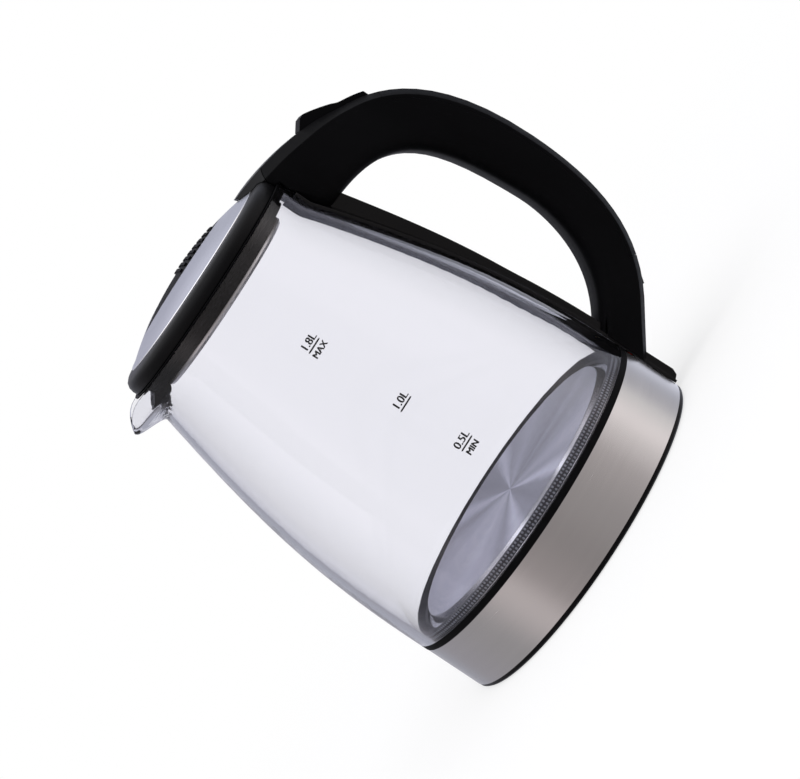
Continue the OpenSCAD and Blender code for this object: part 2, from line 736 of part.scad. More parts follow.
// --- Lid -----------------------------------------------------------------
rebate = dome_t + seat;
// Rounded outside of the lid ring, from its foot to the dome's edge, grown by a gap
function ring_edge(gap) = [
    [lid_r - 0.1 + gap, lid_z], [lid_r + gap, lid_z + 0.26 * ring_h],
    [lid_r - 0.5 + gap, lid_z + 0.57 * ring_h],
    [lid_r - 1.8 + gap, lid_z + 0.82 * ring_h + gap],
    [lid_r - 3.8, lid_z + 0.95 * ring_h + gap], [dome_r, ring_top + gap]];

nose_screw = [lid_r - 5.5, 5];
screw_head_h = 1.2;
module lid_ring() {
    color([0.055, 0.055, 0.06]) difference() {
        rotate_extrude() polygon(concat([[liner_r + 1.5, lid_z]], ring_edge(0),
            [[dome_r, ring_top - rebate], [liner_r + 1.5, ring_top - rebate]]));
        at_pin() cylinder(r = ear_r + play, h = handle_w + 2 * play, center = true);
        for (s = [-1, 1]) translate([nose_screw[0], s * nose_screw[1], lid_z - eps]) {
            cylinder(r = 1.4, h = ring_h + 5, $fn = 32);
            cylinder(r = 2.3, h = screw_head_h + 0.4 + eps, $fn = 32);
        }
    }
}

module pad_prism(inset) {
    arc_r = (pow(pad_l / 2, 2) + pow(pad_w / 2, 2)) / pad_w;
    intersection() {
        translate([-0.5, pad_w / 2 - arc_r, lid_z])
            cylinder(r = arc_r - inset, h = 40, $fn = 180);
        translate([-0.5, arc_r - pad_w / 2, lid_z])
            cylinder(r = arc_r - inset, h = 40, $fn = 180);
    }
}

// The ball that the dome is a cap of, grown by lift
module dome_ball(lift) {
    translate([0, 0, dome_top - dome_ball_r]) sphere(r = dome_ball_r + lift, $fn = 360);
}

module lid_dome() {
    color([0.72, 0.72, 0.76]) difference() {
        intersection() {
            dome_ball(0);
            translate([0, 0, ring_top - rebate]) cylinder(r = dome_r - seat, h = 20);
        }
        dome_ball(-dome_t);
        pad_prism(-seat);
    }
}

module lid_grip_pad() {
    pitch = 3.3;
    color([0.05, 0.05, 0.055]) {
        difference() {
            union() {
                intersection() {
                    pad_prism(0);
                    dome_ball(-0.25);
                }
                // flange that catches under the dome
                intersection() {
                    pad_prism(-1.3);
                    dome_ball(-dome_t - seat);
                }
            }
            dome_ball(-2.2);
        }
        intersection() {
            pad_prism(1.2);
            dome_ball(0.6);
            for (i = [0:pad_ribs - 1])
                block([-0.8 + i * pitch, -pad_w / 2 + 5, ring_top],
                      [0.8 + i * pitch, pad_w / 2 - 5, ring_top + 20]);
        }
    }
}

plug_floor = rim_z - 7.2;
boss_r = 3;
boss_at = liner_r - 14;
module lid_plug() {
    plug_r = liner_r - 0.2;
    boss_low = plug_floor - liner_h + 0.65;
    color([0.06, 0.06, 0.065]) difference() {
        union() {
            rotate_extrude() polygon([
                [0, plug_floor], [plug_r, plug_floor], [plug_r, rim_z - 4.2],
                [plug_r - 1.2, rim_z - 4.2], [plug_r - 1.2, rim_z - 2.4], [plug_r, rim_z - 2.4],
                [liner_r + 0.9, lid_z + 0.2], [liner_r + 1.4, lid_z + 0.6],
                [liner_r + 1.4, ring_top - rebate - 0.05], [0, ring_top - rebate - 0.05]]);
            for (a = [60, 180, 300]) rotate([0, 0, a]) translate([boss_at, 0, boss_low])
                cylinder(r = boss_r, h = liner_h, $fn = 48);
        }
        translate([0, 0, plug_floor + 2]) cylinder(r = plug_r - 3.4, h = ring_h + 20);
        for (a = [60, 180, 300]) rotate([0, 0, a]) translate([boss_at, 0, boss_low - eps])
            cylinder(r = 1.3, h = 8, $fn = 32);
    }
}

module lid_seal() {
    color([0.8, 0.8, 0.8]) difference() {
        translate([0, 0, rim_z - 4.15]) cylinder(r = liner_r + 0.8, h = 1.7);
        translate([0, 0, rim_z - 6]) cylinder(r = liner_r - 1.35, h = 6);
    }
}

module lid_liner() {
    t = 0.6;
    low = plug_floor - 0.05 - liner_h;
    color([0.78, 0.77, 0.75]) rotate_extrude() polygon([
        [0, low], [liner_r - 1.2, low], [liner_r, low + 1.2], [liner_r, plug_floor - 0.05],
        [liner_r - t, plug_floor - 0.05], [liner_r - t, low + 1.4], [liner_r - 1.4, low + t],
        [0, low + t]]);
}

// Screws set from inside the plug into the studs on the liner
module lid_screws() {
    low = plug_floor - liner_h + 0.6;
    color([0.7, 0.7, 0.72]) for (a = [60, 180, 300]) rotate([0, 0, a])
        translate([boss_at, 0, low]) {
            cylinder(r = 1.25, h = liner_h + 2, $fn = 32);
            translate([0, 0, liner_h + 1.45]) cylinder(r = 2.6, h = 1.3, $fn = 32);
        }
}

module lid_hinge_arm() {
    color([0.055, 0.055, 0.06]) difference() {
        intersection() {
            handle_form();
            union() {
                // the nose, over the whole width
                lid_zone(ear_r + play);
                // the part between the ears
                intersection() {
                    block([neck_r - 30, -arm_half_w, rim_z - 20],
                          [base_r + 20, arm_half_w, rim_z + 20]);
                    union() {
                        block([neck_r - 30, -handle_w, lid_z + 0.1],
                              [pin[0], handle_w, rim_z + 20]);
                        at_pin() cylinder(r = hub_r, h = handle_w, center = true);
                        intersection() {
                            at_pin() cylinder(r = arm_sweep_r, h = handle_w, center = true);
                            prism([pin, pin + 30 * [cos(lug_angle), sin(lug_angle)],
                                   pin + [30, 30], pin + [0, 30]], handle_w);
                        }
                    }
                }
            }
        }
        // seat on the dome and the lid ring
        rotate_extrude() polygon(concat([[0, lid_z - 9], [lid_r - 0.1 + seat, lid_z - 9]],
            ring_edge(seat), [[0, ring_top + seat]]));
        intersection() {
            dome_ball(seat);
            cylinder(r = dome_r, h = dome_top + 10);
        }
        for (s = [-1, 1]) translate([0, s * (arm_half_w + handle_w), 0])
            block([0, -handle_w, lid_z - 10], [neck_r + 20, handle_w, lid_z + 0.5 * ring_h]);
        at_pin() cylinder(r = pin_r + 2 * pin_play, h = 3 * handle_w, center = true);
        at_pin() cylinder(r = 4.2, h = 2 * hinge_gap, center = true);
        for (s = [-1, 1]) translate([nose_screw[0], s * nose_screw[1], lid_z])
            cylinder(r = 1.3, h = ring_h + 1.6, $fn = 32);
    }
}

module nose_screws() {
    color([0.6, 0.6, 0.62]) for (s = [-1, 1])
        translate([nose_screw[0], s * nose_screw[1], lid_z + 0.35]) {
            cylinder(r = 2.1, h = screw_head_h, $fn = 32);
            cylinder(r = 1.25, h = ring_h + 1, $fn = 32);
        }
}

// --- Button, latch and switch --------------------------------------------
button_seat_z = rim_z - 6.6;
module release_button() {
    list = steps(button_u[0], button_u[1], 16);
    color([0.05, 0.05, 0.055]) difference() {
        union() {
            prism(concat([for (u = list) outer(u) - [0, skirt]],
                [for (u = reversed(list)) outer(u) + [0, lookup(u, button_lift)]]),
                button_half_w);
            // stem with its wedge
            prism([[stem_x, wedge_z], [stem_x + stem_l, wedge_z + stem_l],
                   [stem_x + stem_l, rim_z + 1], [stem_x, rim_z + 1]], 2);
        }
        translate([spring_at[0], 0, button_seat_z - 6]) cylinder(r = spring_r + play, h = 6,
                                                                 $fn = 32);
    }
}

module latch_bolt() {
    gap = play * sqrt(2);
    low = bolt_top - bolt_h;
    face = stem_x + gap - wedge_z;
    color([0.85, 0.85, 0.83]) difference() {
        block([bolt_tip, -4, low], [bolt_tip + bolt_l, 4, bolt_top]);
        prism([[stem_x - button_travel - play, low - eps], [low - eps + face, low - eps],
               [bolt_top + eps + face, bolt_top + eps],
               [stem_x - button_travel - play, bolt_top + eps]], 2.4);
    }
}

module power_switch() {
    color([0.05, 0.05, 0.055]) at_rocker() translate([0, 0, rocker_hub_z])
        rotate([0, -switch_swing / 2, 0]) translate([0, 0, -rocker_hub_z]) difference() {
            union() {
                block([-rocker_l / 2, -rocker_half_w, -rocker_proud],
                      [rocker_l / 2, rocker_half_w, 1.6]);
                block([-1.6, -rocker_half_w + 1, 0], [1.6, rocker_half_w - 1, rocker_hub_z]);
                translate([0, 0, rocker_hub_z]) rotate([90, 0, 0])
                    cylinder(r = 3, h = 2 * rocker_half_w - 2, center = true, $fn = 48);
            }
            translate([0, 0, rocker_hub_z]) rotate([90, 0, 0])
                cylinder(r = rocker_pin_r + 0.05, h = 30, center = true, $fn = 48);
        }
}

glass_jug();
base_gasket();
base_band();
base_cover();
base_screws();
heating_plate();
plate_seal();
heat_spreader();
heating_element();
control_unit();
connector();
connector_contacts();
collar();
collar_gasket();
spout_filter();
filter_mesh();
handle_strip();
handle_screws();
handle_grip();
handle_cover();
hinge_pin();
hinge_spring();
button_spring();
latch_spring();
steam_switch();
bimetal_disc();
switch_pin();
switch_wires();
lid_ring();
lid_dome();
lid_grip_pad();
lid_plug();
lid_seal();
lid_liner();
lid_screws();
lid_hinge_arm();
nose_screws();
release_button();
latch_bolt();
power_switch();
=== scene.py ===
import json
import math

import bpy
import numpy as np
from mathutils import Matrix, Vector
from mathutils.bvhtree import BVHTree


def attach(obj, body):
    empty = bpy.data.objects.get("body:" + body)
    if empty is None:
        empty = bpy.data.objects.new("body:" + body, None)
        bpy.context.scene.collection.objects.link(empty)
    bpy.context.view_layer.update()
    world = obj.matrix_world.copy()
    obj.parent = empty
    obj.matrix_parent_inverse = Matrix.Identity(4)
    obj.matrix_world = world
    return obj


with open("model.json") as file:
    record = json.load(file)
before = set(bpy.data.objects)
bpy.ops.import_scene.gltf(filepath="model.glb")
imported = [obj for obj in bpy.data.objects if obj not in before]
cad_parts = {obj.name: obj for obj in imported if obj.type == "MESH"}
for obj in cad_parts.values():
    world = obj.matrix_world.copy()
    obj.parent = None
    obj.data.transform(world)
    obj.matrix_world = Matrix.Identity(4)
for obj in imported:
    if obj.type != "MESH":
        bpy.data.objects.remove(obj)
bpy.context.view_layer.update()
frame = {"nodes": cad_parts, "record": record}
node = frame["nodes"]
scene = bpy.context.scene

# ---------------------------------------------------------------- camera
# It looks a little down on the kettle from its front, and its roll tips the
# kettle over in the picture.
DISTANCE = 1.297
HEIGHT = 0.2703
AZIMUTH = math.radians(-4)
YAW = math.radians(0.45)
PITCH = math.radians(7.322)
ROLL = math.radians(56.67)
SENSOR_WIDTH = 36
LENS = 132.97
CLIP_START = 0.05

turn = Matrix.Rotation(AZIMUTH, 3, "Z")
forward = turn @ Vector((math.sin(YAW) * math.cos(PITCH),
                         math.cos(YAW) * math.cos(PITCH),
                         -math.sin(PITCH)))
right = turn @ Vector((math.cos(YAW), -math.sin(YAW), 0))
up = right.cross(forward)
cam_x = math.cos(ROLL) * right - math.sin(ROLL) * up
cam_y = math.sin(ROLL) * right + math.cos(ROLL) * up
camera = bpy.data.objects.new("camera", bpy.data.cameras.new("camera"))
scene.collection.objects.link(camera)
camera.data.sensor_width = SENSOR_WIDTH
camera.data.lens = LENS
camera.data.clip_start = CLIP_START
camera.matrix_world = Matrix((
    (cam_x.x, cam_y.x, -forward.x, 0), (cam_x.y, cam_y.y, -forward.y, 0),
    (cam_x.z, cam_y.z, -forward.z, 0), (0, 0, 0, 1)))
camera.location = turn @ Vector((0, -DISTANCE, HEIGHT))
scene.camera = camera
scene.view_settings.view_transform = "Standard"


# ---------------------------------------------------------------- node helpers
class Tree:
    """A node tree with short calls for adding and joining nodes."""

    def __init__(self, tree):
        self.tree = tree
        tree.nodes.clear()

    def add(self, kind, values=None, **settings):
        n = self.tree.nodes.new("ShaderNode" + kind)
        for key, value in settings.items():
            setattr(n, key, value)
        for key, value in (values or {}).items():
            self.put(n.inputs[key], value)
        return n

    def put(self, socket, value):
        if isinstance(value, bpy.types.NodeSocket):
            self.tree.links.new(value, socket)
        elif isinstance(value, (tuple, list)) and len(value) == 3 and socket.type == "RGBA":
            socket.default_value = (*value, 1)
        else:
            socket.default_value = value

    def math(self, operation, a, b=0.0):
        return self.add("Math", {0: a, 1: b}, operation=operation).outputs[0]

    def vector(self, operation, a, b=(0.0, 0.0, 0.0)):
        n = self.add("VectorMath", {0: a, 1: b}, operation=operation)
        return n.outputs[1] if operation in ("LENGTH", "DOT_PRODUCT") else n.outputs[0]

    def scaled(self, a, factors):
        return self.vector("MULTIPLY", a, factors)

    def parts(self, a):
        """The x, y and z of a vector."""
        return tuple(self.add("SeparateXYZ", {0: a}).outputs)

    def noise(self, vector, scale, detail=3.0, rough=0.5):
        n = self.add("TexNoise", {"Vector": vector, "Scale": scale, "Detail": detail,
                                  "Roughness": rough})
        return n.outputs["Fac"]

    def span(self, value, low, high, to_low=0.0, to_high=1.0, smooth=False):
        """Maps the range low to high onto to_low to to_high, and holds the ends."""
        n = self.add("MapRange", {"Value": value, "From Min": low, "From Max": high,
                                  "To Min": to_low, "To Max": to_high})
        n.interpolation_type = "SMOOTHSTEP" if smooth else "LINEAR"
        return n.outputs[0]

    def blend(self, factor, a, b, kind="MIX"):
        n = self.add("Mix", data_type="RGBA", blend_type=kind)
        self.put(n.inputs[0], factor)
        self.put(n.inputs[6], a)
        self.put(n.inputs[7], b)
        return n.outputs[2]

    def ramp(self, factor, stops, widest):
        """A smooth ramp. Its stops are (degrees, colour) from minus widest to widest."""
        n = self.add("ValToRGB", {0: factor})
        elements = n.color_ramp.elements
        n.color_ramp.interpolation = "EASE"
        while len(elements) < len(stops):
            elements.new(0.5)
        for element, stop in zip(elements, stops):
            element.position = (stop[0] + widest) / (2 * widest)
        for element, stop in zip(elements, stops):
            element.color = (*stop[1], 1)
        return n.outputs[0]

    def bump(self, height, strength, distance, normal=None):
        values = {"Height": height, "Strength": strength, "Distance": distance}
        if normal is not None:
            values["Normal"] = normal
        return self.add("Bump", values).outputs[0]

    def rounded(self, radius):
        """A normal rounded over sharp edges."""
        return self.add("Bevel", {"Radius": radius}, samples=4).outputs[0]


def material(name):
    m = bpy.data.materials.new(name)
    m.use_nodes = True
    t = Tree(m.node_tree)
    t.place = t.add("TexCoord").outputs["Object"]
    return m, t


def finish(t, values):
    shader = t.add("BsdfPrincipled", values)
    t.add("OutputMaterial", {"Surface": shader.outputs[0]})


def toned(colour, factor, lift=0.0):
    """The colour made darker or lighter, and lifted a little, up to full white."""
    return tuple(min(1.0, c * factor + lift) for c in colour)


# ---------------------------------------------------------------- materials
# Noise scales are in features per metre, and bump and edge distances in metres.
WHITE = (1.0, 1.0, 1.0)
BLACK = (0.0018, 0.0018, 0.0022)
WORN = (0.014, 0.014, 0.016)
PLASTIC_EDGE = 0.0005
HAIR_RATE = 2600.0
STREAK_RATE = 260.0
STEEL_GRAIN = 0.0000035
WIRE_RATE = 7000.0
# painted fans grow darker from this y to that one, by these factors
FRONT_TO_BACK = (-0.04, 0.03, 1.08, 0.82)


def plastic(name, colour, worn, rough, grain=2200.0, depth=0.00003, level=0.12):
    """Moulded plastic: fine spark-eroded grain, faint flow marks and paler worn edges."""
    m, t = material(name)
    soft = t.rounded(PLASTIC_EDGE)
    plain = t.add("NewGeometry").outputs["Normal"]
    wear = t.span(t.math("SUBTRACT", 1.0, t.vector("DOT_PRODUCT", soft, plain)), 0.02, 0.25)
    fine = t.noise(t.place, grain, 2.0)
    flow = t.noise(t.scaled(t.place, (1.0, 1.0, 0.5)), 22.0, 4.0)
    dust = t.noise(t.place, 420.0, 5.0, 0.65)
    base = t.blend(t.span(flow, 0.35, 0.7), colour, toned(colour, 1.5, 0.0006))
    base = t.blend(t.math("MULTIPLY", t.span(dust, 0.66, 0.8), 0.25), base, worn)
    base = t.blend(t.math("MULTIPLY", wear, t.span(dust, 0.3, 0.7, 0.15, 0.6)), base, worn)
    shine = t.math("ADD", t.span(flow, 0.3, 0.7, rough - 0.05, rough + 0.05),
                   t.span(dust, 0.3, 0.7, -0.03, 0.05))
    finish(t, {"Base Color": base, "Roughness": shine, "Specular IOR Level": level,
               "Normal": t.bump(fine, 0.35, depth, soft)})
    return m


def rubber(name, colour):
    """Moulded rubber: matt, with a soft mottle and dust on it."""
    m, t = material(name)
    soft = t.noise(t.place, 300.0, 4.0)
    fine = t.noise(t.place, 2600.0, 3.0)
    base = t.blend(t.span(soft, 0.3, 0.75), colour, toned(colour, 1.6, 0.001))
    finish(t, {"Base Color": base, "Roughness": t.span(soft, 0.2, 0.8, 0.52, 0.7),
               "Specular IOR Level": 0.06, "Normal": t.bump(fine, 0.2, 0.00002)})
    return m


def brush_lines(t, compass, across, wander, rate):
    """Coordinates that run slowly along the brushing, and fast across it."""
    lines = t.add("CombineXYZ", {2: t.math("MULTIPLY", across, rate)}).outputs[0]
    return t.vector("ADD", t.scaled(compass, (wander, wander, 0.0)), lines)


def painted_fans(t, base, fans):
    """Shades the base by bearing round the axis, and a little from front to back."""
    x, y, _ = t.parts(t.place)
    flat = t.add("CombineXYZ", {0: x, 1: y}).outputs[0]
    bearing = t.math("ARCTAN2", x, t.math("ABSOLUTE", y))
    uneven = t.math("SUBTRACT", t.noise(t.scaled(flat, (40.0, 40.0, 0.0)), 1.0), 0.5)
    bearing = t.math("ADD", bearing, t.math("MULTIPLY", uneven, 0.1))
    share = t.span(bearing, -math.pi / 2, math.pi / 2)
    shades = t.ramp(share, [(degrees, (shade,) * 3) for degrees, shade in fans], 90)
    fanned = t.blend(1.0, base, shades, "MULTIPLY")
    near = t.span(y, *FRONT_TO_BACK)
    return t.add("VectorMath", {0: fanned, "Scale": near}, operation="SCALE").outputs[0]


def steel(name, colour, rough, lines="round", turned=0.4, variation=0.06, fans=None, edge=0.0):
    """Brushed steel. Lines run round a wall, along z = constant, or lie flat in turned rings.
    fans gives painted shades by degrees from the Y axis, as turned rings show under two lamps."""
    m, t = material(name)
    x, y, z = t.parts(t.place)
    flat = t.add("CombineXYZ", {0: x, 1: y}).outputs[0]
    compass = t.vector("NORMALIZE", flat)
    across = z if lines == "round" else t.vector("LENGTH", flat)
    hair = t.noise(brush_lines(t, compass, across, 1.5, HAIR_RATE), 1.0, 4.0, 0.6)
    streak = t.noise(brush_lines(t, compass, across, 0.8, STREAK_RATE), 1.0, 3.0)
    cloud = t.noise(t.place, 30.0, 4.0)
    tone = t.math("ADD", t.math("MULTIPLY", hair, 0.5), t.math("MULTIPLY", streak, 0.5))
    dark = toned(colour, 1 - variation)
    base = t.blend(t.span(tone, 0.3, 0.7), dark, toned(colour, 1 + variation))
    base = t.blend(t.span(cloud, 0.4, 0.75, 0.0, 0.25), base, dark)
    if fans:
        base = painted_fans(t, base, fans)
    shine = t.math("ADD", t.span(tone, 0.25, 0.75, rough - 0.04, rough + 0.05),
                   t.span(cloud, 0.35, 0.7, 0.0, 0.04))
    soft = t.rounded(edge) if edge else None
    finish(t, {"Base Color": base, "Metallic": 1.0, "Roughness": shine,
               "Normal": t.bump(hair, 0.3, STEEL_GRAIN, soft), "Anisotropic": turned,
               "Tangent": t.add("Tangent", direction_type="RADIAL", axis="Z").outputs[0]})
    return m


def metal(name, colour, rough, scale=400.0):
    """A small metal piece: slight tarnish and tool marks."""
    m, t = material(name)
    cloud = t.noise(t.place, scale, 4.0)
    tool_marks = t.noise(t.scaled(t.place, (1.0, 1.0, 6.0)), scale * 3, 3.0)
    base = t.blend(t.span(cloud, 0.3, 0.75), colour, toned(colour, 0.8))
    finish(t, {"Base Color": base, "Metallic": 1.0,
               "Roughness": t.span(cloud, 0.25, 0.75, rough - 0.06, rough + 0.1),
               "Normal": t.bump(tool_marks, 0.3, 0.00001)})
    return m


def clear_glass(name, tint):
    """Borosilicate glass: slightly wavy, with a few water marks, and open to the lamps."""
    m, t = material(name)
    wave = t.noise(t.scaled(t.place, (1.0, 1.0, 0.6)), 26.0, 1.0)
    spots = t.noise(t.place, 260.0, 4.0, 0.6)
    glass = t.add("BsdfPrincipled", {
        "Base Color": tint, "Roughness": t.span(spots, 0.62, 0.8, 0.0, 0.05), "IOR": 1.42,
        "Transmission Weight": 1.0, "Normal": t.bump(wave, 0.12, 0.0006)})
    open_glass = t.add("BsdfTransparent", {"Color": (0.9, 0.9, 0.92)})
    shadow = t.add("LightPath").outputs["Is Shadow Ray"]
    both = t.add("MixShader", {0: shadow, 1: glass.outputs[0], 2: open_glass.outputs[0]})
    t.add("OutputMaterial", {"Surface": both.outputs[0]})
    return m


def silicone(name, colour):
    """Milky silicone that lets a little light through, with a fine grain."""
    m, t = material(name)
    mottle = t.noise(t.place, 220.0, 3.0)
    base = t.blend(t.span(mottle, 0.3, 0.7), colour, toned(colour, 0.86))
    finish(t, {"Base Color": base, "Roughness": t.span(mottle, 0.2, 0.8, 0.3, 0.45),
               "Specular IOR Level": 0.2, "Transmission Weight": 0.05, "IOR": 1.41,
               "Normal": t.bump(t.noise(t.place, 1500.0), 0.2, 0.00003)})
    return m


def mesh_metal(name, colour):
    """Woven filter gauze: pale wires both ways, with painted shade in the gaps between them."""
    m, t = material(name)
    waves = [t.math("SINE", t.math("MULTIPLY", axis, WIRE_RATE)) for axis in t.parts(t.place)[:2]]
    weave = t.math("MAXIMUM", *waves)
    # the gaps between the wires get a painted shade, far darker than the wires
    base = t.blend(t.span(weave, 0.0, 0.9), toned(colour, 0.12), colour)
    finish(t, {"Base Color": base, "Metallic": 1.0,
               "Roughness": t.span(weave, 0.0, 1.0, 0.55, 0.3),
               "Normal": t.bump(weave, 0.6, 0.0001)})
    return m


def printed_ink(name):
    """Black print, a little uneven."""
    m, t = material(name)
    spread = t.noise(t.place, 900.0, 4.0)
    base = t.blend(t.span(spread, 0.35, 0.7), (0.004, 0.004, 0.005), (0.012, 0.012, 0.014))
    finish(t, {"Base Color": base, "Roughness": t.span(spread, 0.3, 0.7, 0.3, 0.5),
               "Normal": t.bump(spread, 0.3, 0.00002)})
    return m


# the heating plate's painted shades, by degrees from the Y axis
FANS = [(-90, 0.86), (-62, 0.9), (-40, 0.74), (-26, 0.5), (-16, 1.0), (-8, 0.42), (0, 0.33),
        (7, 0.38), (14, 0.98), (23, 0.55), (36, 0.66), (58, 0.5), (76, 0.42), (90, 0.5)]
paint = {
    "clear_glass": clear_glass("clear_glass", (0.938, 0.938, 0.973)),
    "black_plastic": plastic("black_plastic", BLACK, WORN, 0.36),
    "strip_plastic": plastic("strip_plastic", BLACK, WORN, 0.2, level=0.3),
    "handle_plastic": plastic("handle_plastic", BLACK, (0.009, 0.009, 0.011), 0.5, level=0.05),
    "collar_plastic": plastic("collar_plastic", BLACK, (0.006, 0.006, 0.007), 0.5, 600.0,
                              0.000002, level=0.05),
    "control_resin": plastic("control_resin", (0.5, 0.47, 0.38), (0.62, 0.6, 0.5), 0.45),
    "connector_plastic": plastic("connector_plastic", (0.006, 0.006, 0.006), WORN, 0.5),
    "pad_plastic": plastic("pad_plastic", (0.0016, 0.0016, 0.002), (0.008, 0.008, 0.01), 0.5,
                           1800.0, 0.00004, level=0.04),
    "natural_acetal": plastic("natural_acetal", (0.72, 0.71, 0.67), (0.85, 0.84, 0.8), 0.35),
    "wire_insulation": plastic("wire_insulation", (0.4, 0.03, 0.02), (0.5, 0.1, 0.08), 0.4),
    "black_rubber": rubber("black_rubber", (0.0016, 0.0016, 0.002)),
    "clear_silicone": silicone("clear_silicone", (0.045, 0.045, 0.055)),
    "satin_steel": steel("satin_steel", (0.78, 0.765, 0.76), 0.21, turned=0.3, variation=0.025),
    "liner_steel": steel("liner_steel", (0.97, 0.95, 0.91), 0.3, edge=0.0006),
    "plate_steel": steel("plate_steel", (0.9, 0.9, 0.97), 0.2, "flat", turned=0.5,
                         variation=0.08, fans=FANS, edge=0.0009),
    "dome_steel": steel("dome_steel", (0.53, 0.54, 0.61), 0.3, "flat", turned=0.3,
                        variation=0.03, edge=0.0008),
    "mesh_steel": mesh_metal("mesh_steel", (0.7, 0.7, 0.72)),
    "fastener_steel": metal("fastener_steel", (0.62, 0.62, 0.64), 0.3),
    "spring_steel": metal("spring_steel", (0.6, 0.6, 0.62), 0.28, 900.0),
    "cast_aluminium": metal("cast_aluminium", (0.7, 0.7, 0.71), 0.5, 250.0),
    "element_sheath": metal("element_sheath", (0.35, 0.35, 0.36), 0.45, 300.0),
    "contact_brass": metal("contact_brass", (0.78, 0.56, 0.26), 0.25, 500.0),
}

# ---------------------------------------------------------------- carried-over pieces
SMOOTH_LIMIT = math.cos(math.radians(32.0))
# corners in the same half micron are one spot
SPOTS_PER_METRE = 2e6
SLIVER_AREA = 1e-14
TINY_LENGTH = 1e-9
TINY_PRODUCT = 1e-15


def read_all(items, key, width, kind=float):
    """One property of all vertices, loops or faces, as an array."""
    values = np.empty(len(items) * width, kind)
    items.foreach_get(key, values)
    return values.reshape(-1, width) if width > 1 else values


def soften(obj):
    """Shades curved faces smoothly where their facets meet below the limit; points don't move."""
    mesh = obj.data
    corner = read_all(mesh.loops, "vertex_index", 1, np.int64)
    size = read_all(mesh.polygons, "loop_total", 1, np.int64)
    area = read_all(mesh.polygons, "area", 1)
    face = np.repeat(np.arange(len(size)), size)
    spot = read_all(mesh.vertices, "co", 3)[corner]
    # the angle that each face fills at each of its corners is its weight there
    start = np.cumsum(size) - size
    after = np.arange(len(corner)) + 1
    after[start + size - 1] = start
    before = np.empty(len(corner), np.int64)
    before[after] = np.arange(len(corner))
    a, b = spot[after] - spot, spot[before] - spot
    product = np.linalg.norm(a, axis=1) * np.linalg.norm(b, axis=1)
    weight = np.arccos(np.clip((a * b).sum(1) / np.maximum(product, TINY_PRODUCT), -1, 1))
    weight = np.where(area[face] < SLIVER_AREA, 0, weight)
    # corners at one spot share their normals, apart from faces past the limit
    cell = np.round(spot * SPOTS_PER_METRE).astype(np.int64)
    group = np.unique(cell, axis=0, return_inverse=True)[1].ravel()
    order = np.argsort(group, kind="stable")
    sizes = np.bincount(group)
    starts = np.cumsum(sizes) - sizes
    normals = read_all(mesh.polygons, "normal", 3)[face]
    result = normals.copy()
    for s in np.unique(sizes):
        rows = order[starts[sizes == s][:, None] + np.arange(s)[None, :]]
        n, w = normals[rows], weight[rows]
        near = np.einsum("msi,mti->mst", n, n) > SMOOTH_LIMIT
        total = np.einsum("mst,mt,mti->msi", near.astype(float), w, n)
        length = np.linalg.norm(total, axis=2, keepdims=True)
        result[rows] = np.where(length > TINY_LENGTH, total / np.maximum(length, TINY_LENGTH), n)
    mesh.polygons.foreach_set("use_smooth", np.ones(len(size), bool))
    mesh.normals_split_custom_set(result.tolist())


def dress(name, look):
    mesh = node[name].data
    mesh.materials.clear()
    mesh.materials.append(paint[look])


for part in frame["record"]["subparts"]:
    dress(part["node"], part["material_slot"])
    soften(node[part["node"]])
# pieces in one CAD material whose finish differs
dress("handle_strip", "strip_plastic")
dress("handle_grip", "handle_plastic")
dress("handle_cover", "handle_plastic")
dress("lid_plug", "handle_plastic")
dress("collar", "collar_plastic")


# ---------------------------------------------------------------- helpers for added pieces
def new_mesh(name, points, faces):
    mesh = bpy.data.meshes.new(name)
    mesh.from_pydata(points, [], faces)
    return mesh


def new_piece(name, mesh, look):
    obj = bpy.data.objects.new(name, mesh)
    scene.collection.objects.link(obj)
    mesh.materials.append(look)
    return obj


def reach_and_top(mesh):
    """How far a round piece reaches from the axis, and how high."""
    return max(v.co.xy.length for v in mesh.vertices), max(v.co.z for v in mesh.vertices)


# ---------------------------------------------------------------- level marks on the glass
MARK_X = 0.0007
IN_FRONT = -0.2
LINE_LENGTH = 0.0081
LINE_WIDTH = 0.0007
LINE_STEPS = 12
LINE_END_SHARE = 0.3
INK_DEPTH = 0.00004
INK_GAP = 0.00005
NUMBER_HEIGHT = 0.0034
NUMBER_RISE = 0.0012
WORD_HEIGHT = 0.0027
WORD_DROP = 0.0014
NUMBER_WEIGHT = 0.00017
WORD_WEIGHT = 0.00018
# how tall the font's capitals are at a size of 1
CAPITAL_SHARE = 0.7
STRIKE_RISE = 0.000002
# each mark's name, height on the jug, number above its line and word below
LEVELS = [("full", 0.15235, "1.8L", "MAX"), ("middle", 0.1077, "1.0L", ""),
          ("low", 0.0776, "0.5L", "MIN")]

glass_mesh = node["glass_jug"].data
glass_tree = BVHTree.FromPolygons([v.co for v in glass_mesh.vertices],
                                  [tuple(p.vertices) for p in glass_mesh.polygons])
ink = printed_ink("level_ink")


def mark(name, mesh, x, z):
    """Wraps a flat mesh drawn in its own XY plane onto the front of the jug."""
    for v in mesh.vertices:
        u, w, out = v.co
        place = glass_tree.ray_cast(Vector((x + u, IN_FRONT, z + w)), Vector((0, 1, 0)))[0]
        v.co = (x + u, place.y - INK_GAP - out, z + w)
    mesh.update()
    obj = new_piece(name, mesh, ink)
    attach(obj, "jug")


